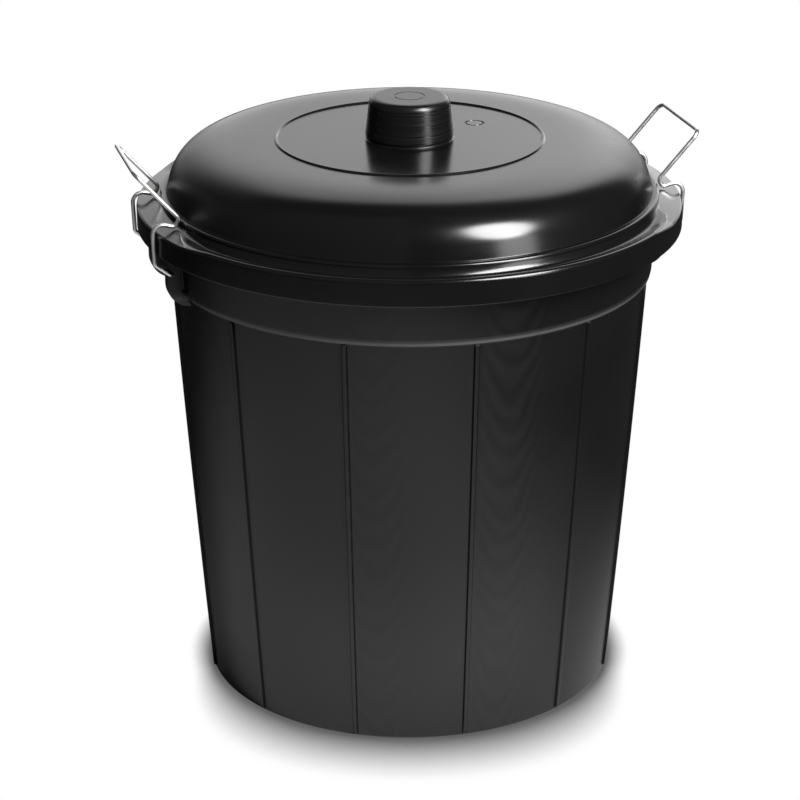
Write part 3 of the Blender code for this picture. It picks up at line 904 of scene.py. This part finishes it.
def tub_plastic():
    """Satin black polypropylene with the mould's flow waves, a painted highlight along the lip and painted
    shade in the creases by the ribs.
    """
    material, nodes, shader, where = new_material("tub_plastic")
    x, y, z = nodes.add("ShaderNodeSeparateXYZ", {0: where}).outputs
    angle = nodes.math("ARCTAN2", y, x)
    waves = flow_marks(nodes, where, z, angle)
    cloud = nodes.noise(where, TUB_CLOUD_SCALE, 4.0)
    waved = nodes.math("MULTIPLY", waves, WAVE_ROUGHNESS)
    rough = nodes.math("ADD", nodes.ramp(cloud, 0.25, 0.75, *TUB_ROUGHNESS), waved)
    connect(nodes, rough, shader.inputs["Roughness"])
    tint = nodes.add("ShaderNodeMix", data_type="RGBA")
    wave_tint = nodes.math("MULTIPLY", waves, WAVE_TINT)
    shade = nodes.math("ADD", nodes.math("MULTIPLY", cloud, CLOUD_TINT), wave_tint)
    set_mix(nodes, tint, shade, *TUB_COLOURS)
    # Painted highlight: a patchy lighter colour along the lip's lower edge, and a fainter lighter band on the
    # face above it
    from_lip = nodes.math("ABSOLUTE", nodes.math("SUBTRACT", z, LIP_HIGHLIGHT_EDGE_HEIGHT))
    from_face = nodes.math("ABSOLUTE", nodes.math("SUBTRACT", z, LIP_HIGHLIGHT_FACE_HEIGHT))
    patchy = nodes.ramp(cloud, 0.2, 0.8, 0.7, 1.0)
    edge = nodes.math("MULTIPLY", nodes.ramp(from_lip, 0.001, 0.003, 0.8, 0.0), patchy)
    lip_highlight = nodes.math("ADD", edge, nodes.ramp(from_face, 0.0015, 0.004, 0.2, 0.0))
    highlighted = nodes.add("ShaderNodeMix", data_type="RGBA")
    set_mix(nodes, highlighted, lip_highlight, (0, 0, 0, 1), LIP_HIGHLIGHT_COLOUR)
    connect(nodes, tint.outputs["Result"], highlighted.inputs[6])
    connect(nodes, highlighted.outputs["Result"], shader.inputs["Base Color"])
    # Painted shade: the reflection is weakened in the creases beside the ribs, below the lip
    flank = nodes.math("ABSOLUTE", nodes.math("SUBTRACT", rib_distance(nodes, angle), RIB_FLANK))
    below_lip = nodes.math("LESS_THAN", z, LIP_HEIGHT)
    crease_shade = nodes.math("MULTIPLY", nodes.ramp(flank, 0.0003, 0.0009, 1.0, 0.0), below_lip)
    specular = nodes.ramp(crease_shade, 0.0, 1.0, PLAIN_SPECULAR, CREASE_SHADE_SPECULAR)
    connect(nodes, specular, shader.inputs["Specular IOR Level"])
    grain = nodes.math("MULTIPLY", nodes.noise(where, GRAIN_SCALE, 2.0), GRAIN_DEPTH)
    relief = nodes.math("ADD", grain, nodes.math("MULTIPLY", waves, WAVE_DEPTH))
    bump = nodes.add("ShaderNodeBump", {"Height": relief, "Distance": TUB_RELIEF, "Strength": 0.5})
    connect(nodes, bump.outputs[0], shader.inputs["Normal"])
    return material


def zinc_wire():
    """Bright zinc-plated steel wire with fine draw lines and duller spots."""
    material, nodes, shader, where = new_material("zinc_wire")
    cloud = nodes.noise(where, WIRE_CLOUD_SCALE, 4.0)
    lines = nodes.noise(nodes.stretched(where, DRAW_STRETCH), 1.0, 2.0)
    connect(nodes, nodes.ramp(cloud, 0.3, 0.7, *WIRE_ROUGHNESS), shader.inputs["Roughness"])
    tint = nodes.add("ShaderNodeMix", data_type="RGBA")
    set_mix(nodes, tint, cloud, *WIRE_COLOURS)
    connect(nodes, tint.outputs["Result"], shader.inputs["Base Color"])
    bump = nodes.add("ShaderNodeBump", {"Height": lines, "Distance": DRAW_RELIEF, "Strength": 0.4})
    connect(nodes, bump.outputs[0], shader.inputs["Normal"])
    shader.inputs["Metallic"].default_value = 1
    return material


# Studio

def away(azimuth, elevation=0.0):
    """The direction at an azimuth and elevation, in degrees, from the way that the camera looks."""
    turn = CAMERA_TURN - math.radians(azimuth)
    level = Vector((-math.sin(turn), math.cos(turn), 0))
    return level * math.cos(math.radians(elevation)) + Vector((0, 0, math.sin(math.radians(elevation))))


def make_camera():
    """The camera at the photograph's viewing angle."""
    spin = Matrix.Rotation(CAMERA_TURN, 3, "Z")
    right = Vector((math.cos(CAMERA_YAW), math.sin(CAMERA_YAW), 0))
    ahead = Vector((-math.sin(CAMERA_YAW), math.cos(CAMERA_YAW), 0))
    above = Vector((0, 0, 1))
    forward = ahead * math.cos(CAMERA_PITCH) - above * math.sin(CAMERA_PITCH)
    up = ahead * math.sin(CAMERA_PITCH) + above * math.cos(CAMERA_PITCH)
    image_right = right * math.cos(CAMERA_ROLL) - up * math.sin(CAMERA_ROLL)
    image_up = right * math.sin(CAMERA_ROLL) + up * math.cos(CAMERA_ROLL)
    place = Vector((0, -math.cos(CAMERA_ELEVATION), math.sin(CAMERA_ELEVATION))) * CAMERA_DISTANCE
    place.z += CAMERA_AIM_HEIGHT
    axes = Matrix((spin @ image_right, spin @ image_up, -(spin @ forward))).transposed()
    data = bpy.data.cameras.new("camera")
    data.sensor_width = SENSOR
    data.lens = CAMERA_LENS
    camera = bpy.data.objects.new("camera", data)
    camera.matrix_world = Matrix.Translation(spin @ place) @ axes.to_4x4()
    bpy.context.scene.collection.objects.link(camera)
    bpy.context.scene.camera = camera


def softbox(name, azimuth, elevation, distance, width, height, radiance):
    """A soft oval lamp that faces the object, of a given brightness."""
    lamp = bpy.data.lights.new(name, "AREA")
    lamp.shape = "ELLIPSE"
    lamp.size = width
    lamp.size_y = height
    lamp.energy = radiance * math.pi * width * height * math.pi / 4
    light = bpy.data.objects.new(name, lamp)
    towards = away(azimuth, elevation)
    light.location = Vector((0, 0, LAMP_AIM_HEIGHT)) + towards * distance
    light.rotation_euler = towards.to_track_quat("Z", "Y").to_euler()
    light.visible_camera = False
    bpy.context.scene.collection.objects.link(light)


def fade(nodes, angle, ends, at_first, at_last):
    """A value carried smoothly between two angles, given in degrees."""
    return nodes.ramp(angle, math.radians(ends[0]), math.radians(ends[1]), at_first, at_last)


def in_camera_turn(nodes, where):
    """Coordinates turned so that Y is the way that the camera looks: across, forward and up."""
    turned_round = nodes.add("ShaderNodeMapping", {"Vector": where, "Rotation": (0, 0, -CAMERA_TURN)})
    return nodes.add("ShaderNodeSeparateXYZ", {0: turned_round.outputs[0]}).outputs


def make_world():
    """A white surround for the camera, and a dim studio with a bright backdrop for everything else."""
    world = bpy.data.worlds.new("studio")
    bpy.context.scene.world = world
    world.use_nodes = True
    nodes = Nodes(world.node_tree)
    background = world.node_tree.nodes["Background"]
    where = nodes.add("ShaderNodeTexCoord").outputs["Generated"]
    across, forward, up = in_camera_turn(nodes, where)
    azimuth = nodes.math("ARCTAN2", across, forward)
    elevation = nodes.math("ARCSINE", up)
    left = fade(nodes, azimuth, CARD_LEFT, 0.0, 1.0)
    right = fade(nodes, azimuth, CARD_RIGHT, 1.0, 0.0)
    brightness = fade(nodes, azimuth, CARD_BRIGHTENS, *CARD_BRIGHTNESS)
    below_top = fade(nodes, elevation, CARD_TOP, 1.0, 0.0)
    card = nodes.math("MULTIPLY", nodes.math("MULTIPLY", left, right), below_top)
    side = fade(nodes, azimuth, SIDE_STARTS, 0.0, SIDE_GLOW)
    side_end = fade(nodes, azimuth, SIDE_ENDS, 1.0, 0.0)
    glow = nodes.math("ADD", nodes.math("MULTIPLY", card, brightness), nodes.math("MULTIPLY", side, side_end))
    left_room = fade(nodes, azimuth, LEFT_ROOM_ENDS, LEFT_ROOM_GLOW, 0.0)
    level = nodes.math("ADD", glow, nodes.math("ADD", left_room, ROOM_GLOW))
    seen = nodes.add("ShaderNodeLightPath").outputs["Is Camera Ray"]
    rest = nodes.math("MULTIPLY", level, nodes.math("SUBTRACT", 1.0, seen))
    background.inputs["Color"].default_value = (1, 1, 1, 1)
    connect(nodes, nodes.math("ADD", rest, seen), background.inputs["Strength"])


def light_pool(nodes, across, forward):
    """The floor's paleness in reflections: a soft pool of light in front of the object, dim outside it."""
    aside = nodes.math("SUBTRACT", across, POOL_CENTRE[0])
    ahead = nodes.math("SUBTRACT", forward, POOL_CENTRE[1])
    right = nodes.math("DIVIDE", nodes.math("MAXIMUM", aside, 0.0), POOL_RIGHT)
    left = nodes.math("DIVIDE", nodes.math("MINIMUM", aside, 0.0), POOL_LEFT)
    back = nodes.math("DIVIDE", nodes.math("MAXIMUM", ahead, 0.0), POOL_BACK)
    front = nodes.math("DIVIDE", nodes.math("MINIMUM", ahead, 0.0), POOL_FRONT)
    sides = (right, left, back, front)
    squares = [nodes.math("POWER", nodes.math("ABSOLUTE", side), 2.0) for side in sides]
    total = squares[0]
    for square in squares[1:]:
        total = nodes.math("ADD", total, square)
    far = nodes.math("SQRT", total)
    reach = nodes.length(across, forward)
    in_front = nodes.ramp(forward, *FOOT_FRONT, 1.0, 0.0)
    at_foot = nodes.math("MULTIPLY", nodes.ramp(reach, *FOOT_FADE, FOOT_BRIGHTNESS, 0.0), in_front)
    return nodes.math("ADD", nodes.ramp(far, *POOL_FADE, *POOL_BRIGHTNESS), at_foot)


def contact_shadow(nodes, across, forward):
    """The floor's brightness to the camera: white, with a soft shadow that is narrower beside the foot."""
    reach = nodes.length(across, forward)
    frontness = nodes.math("DIVIDE", nodes.math("MULTIPLY", forward, -1.0), reach)
    distance = nodes.ramp(frontness, SHADOW_SIDE_END, 1.0, SHADOW_SIDE, SHADOW_FRONT)
    closeness = nodes.add("ShaderNodeAmbientOcclusion", {"Distance": distance}, samples=32).outputs["AO"]
    beyond = nodes.math("SUBTRACT", closeness, SHADOW_OPEN_FROM)
    open_share = nodes.math("MULTIPLY", beyond, SHADOW_OPEN_GAIN)
    clear = nodes.math("POWER", nodes.math("MAXIMUM", open_share, 0.0), SHADOW_POWER)
    lit = nodes.math("ADD", nodes.math("MULTIPLY", clear, SHADOW_GAIN), SHADOW_FLOOR)
    return nodes.math("MINIMUM", lit, 1.0)


def make_floor():
    """A pale floor that is white to the camera, darkens round the object's foot and fades far in front."""
    mesh = bpy.data.meshes.new("floor")
    corners = [(FLOOR_REACH * x, FLOOR_REACH * y, 0) for x, y in ((-1, -1), (1, -1), (1, 1), (-1, 1))]
    mesh.from_pydata(corners, [], [(0, 1, 2, 3)])
    floor = bpy.data.objects.new("floor", mesh)
    floor.location.z = cad_box[0].z - FLOOR_DROP
    bpy.context.scene.collection.objects.link(floor)
    material = bpy.data.materials.new("floor")
    material.use_nodes = True
    nodes = Nodes(material.node_tree)
    tree = material.node_tree
    tree.nodes.remove(tree.nodes["Principled BSDF"])
    where = nodes.add("ShaderNodeTexCoord").outputs["Object"]
    across, forward, _ = in_camera_turn(nodes, where)
    shade = light_pool(nodes, across, forward)
    grey = nodes.add("ShaderNodeCombineColor", {0: shade, 1: shade, 2: shade}).outputs[0]
    diffuse = nodes.add("ShaderNodeBsdfDiffuse", {"Color": grey}).outputs[0]
    white = contact_shadow(nodes, across, forward)
    glow = nodes.add("ShaderNodeEmission", {"Strength": white}).outputs[0]
    seen = nodes.add("ShaderNodeLightPath").outputs["Is Camera Ray"]
    mix = nodes.add("ShaderNodeMixShader", {0: seen, 1: diffuse, 2: glow}).outputs[0]
    connect(nodes, mix, tree.nodes["Material Output"].inputs["Surface"])
    mesh.materials.append(material)


def dress(piece, material, slot, body, *nodes):
    """Gives a piece its material and body, and hides the CAD nodes that it stands for. Its slot is not used.
    """
    piece.data.materials.clear()
    piece.data.materials.append(material)
    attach(piece, body)
    if nodes:
        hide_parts(*nodes)


def main():
    """Dresses every piece and sets up the camera and the studio."""
    tub_finish, lid_finish, wire_finish = tub_plastic(), lid_plastic(), zinc_wire()
    dress(make_tub(), tub_finish, "tub_plastic", "bin", "bin_body")
    lugs = (("left_front_lug", -1, -1), ("left_back_lug", -1, 1))
    lugs += (("right_front_lug", 1, -1), ("right_back_lug", 1, 1))
    for name, side, end in lugs:
        for piece in make_lug(name, side, end):
            dress(piece, tub_finish, "tub_plastic", "bin")
    dress(make_lid(), lid_finish, "lid_plastic", "lid", "lid")
    dress(make_clip("left_clip_wire", -1), wire_finish, "zinc_wire", "left_clip", "left_clip")
    dress(make_clip("right_clip_wire", 1), wire_finish, "zinc_wire", "right_clip", "right_clip")
    make_camera()
    make_floor()
    make_world()
    softbox("key", *KEY)
    softbox("key_below", *KEY_BELOW)
    bpy.context.scene.view_settings.view_transform = "Standard"


main()
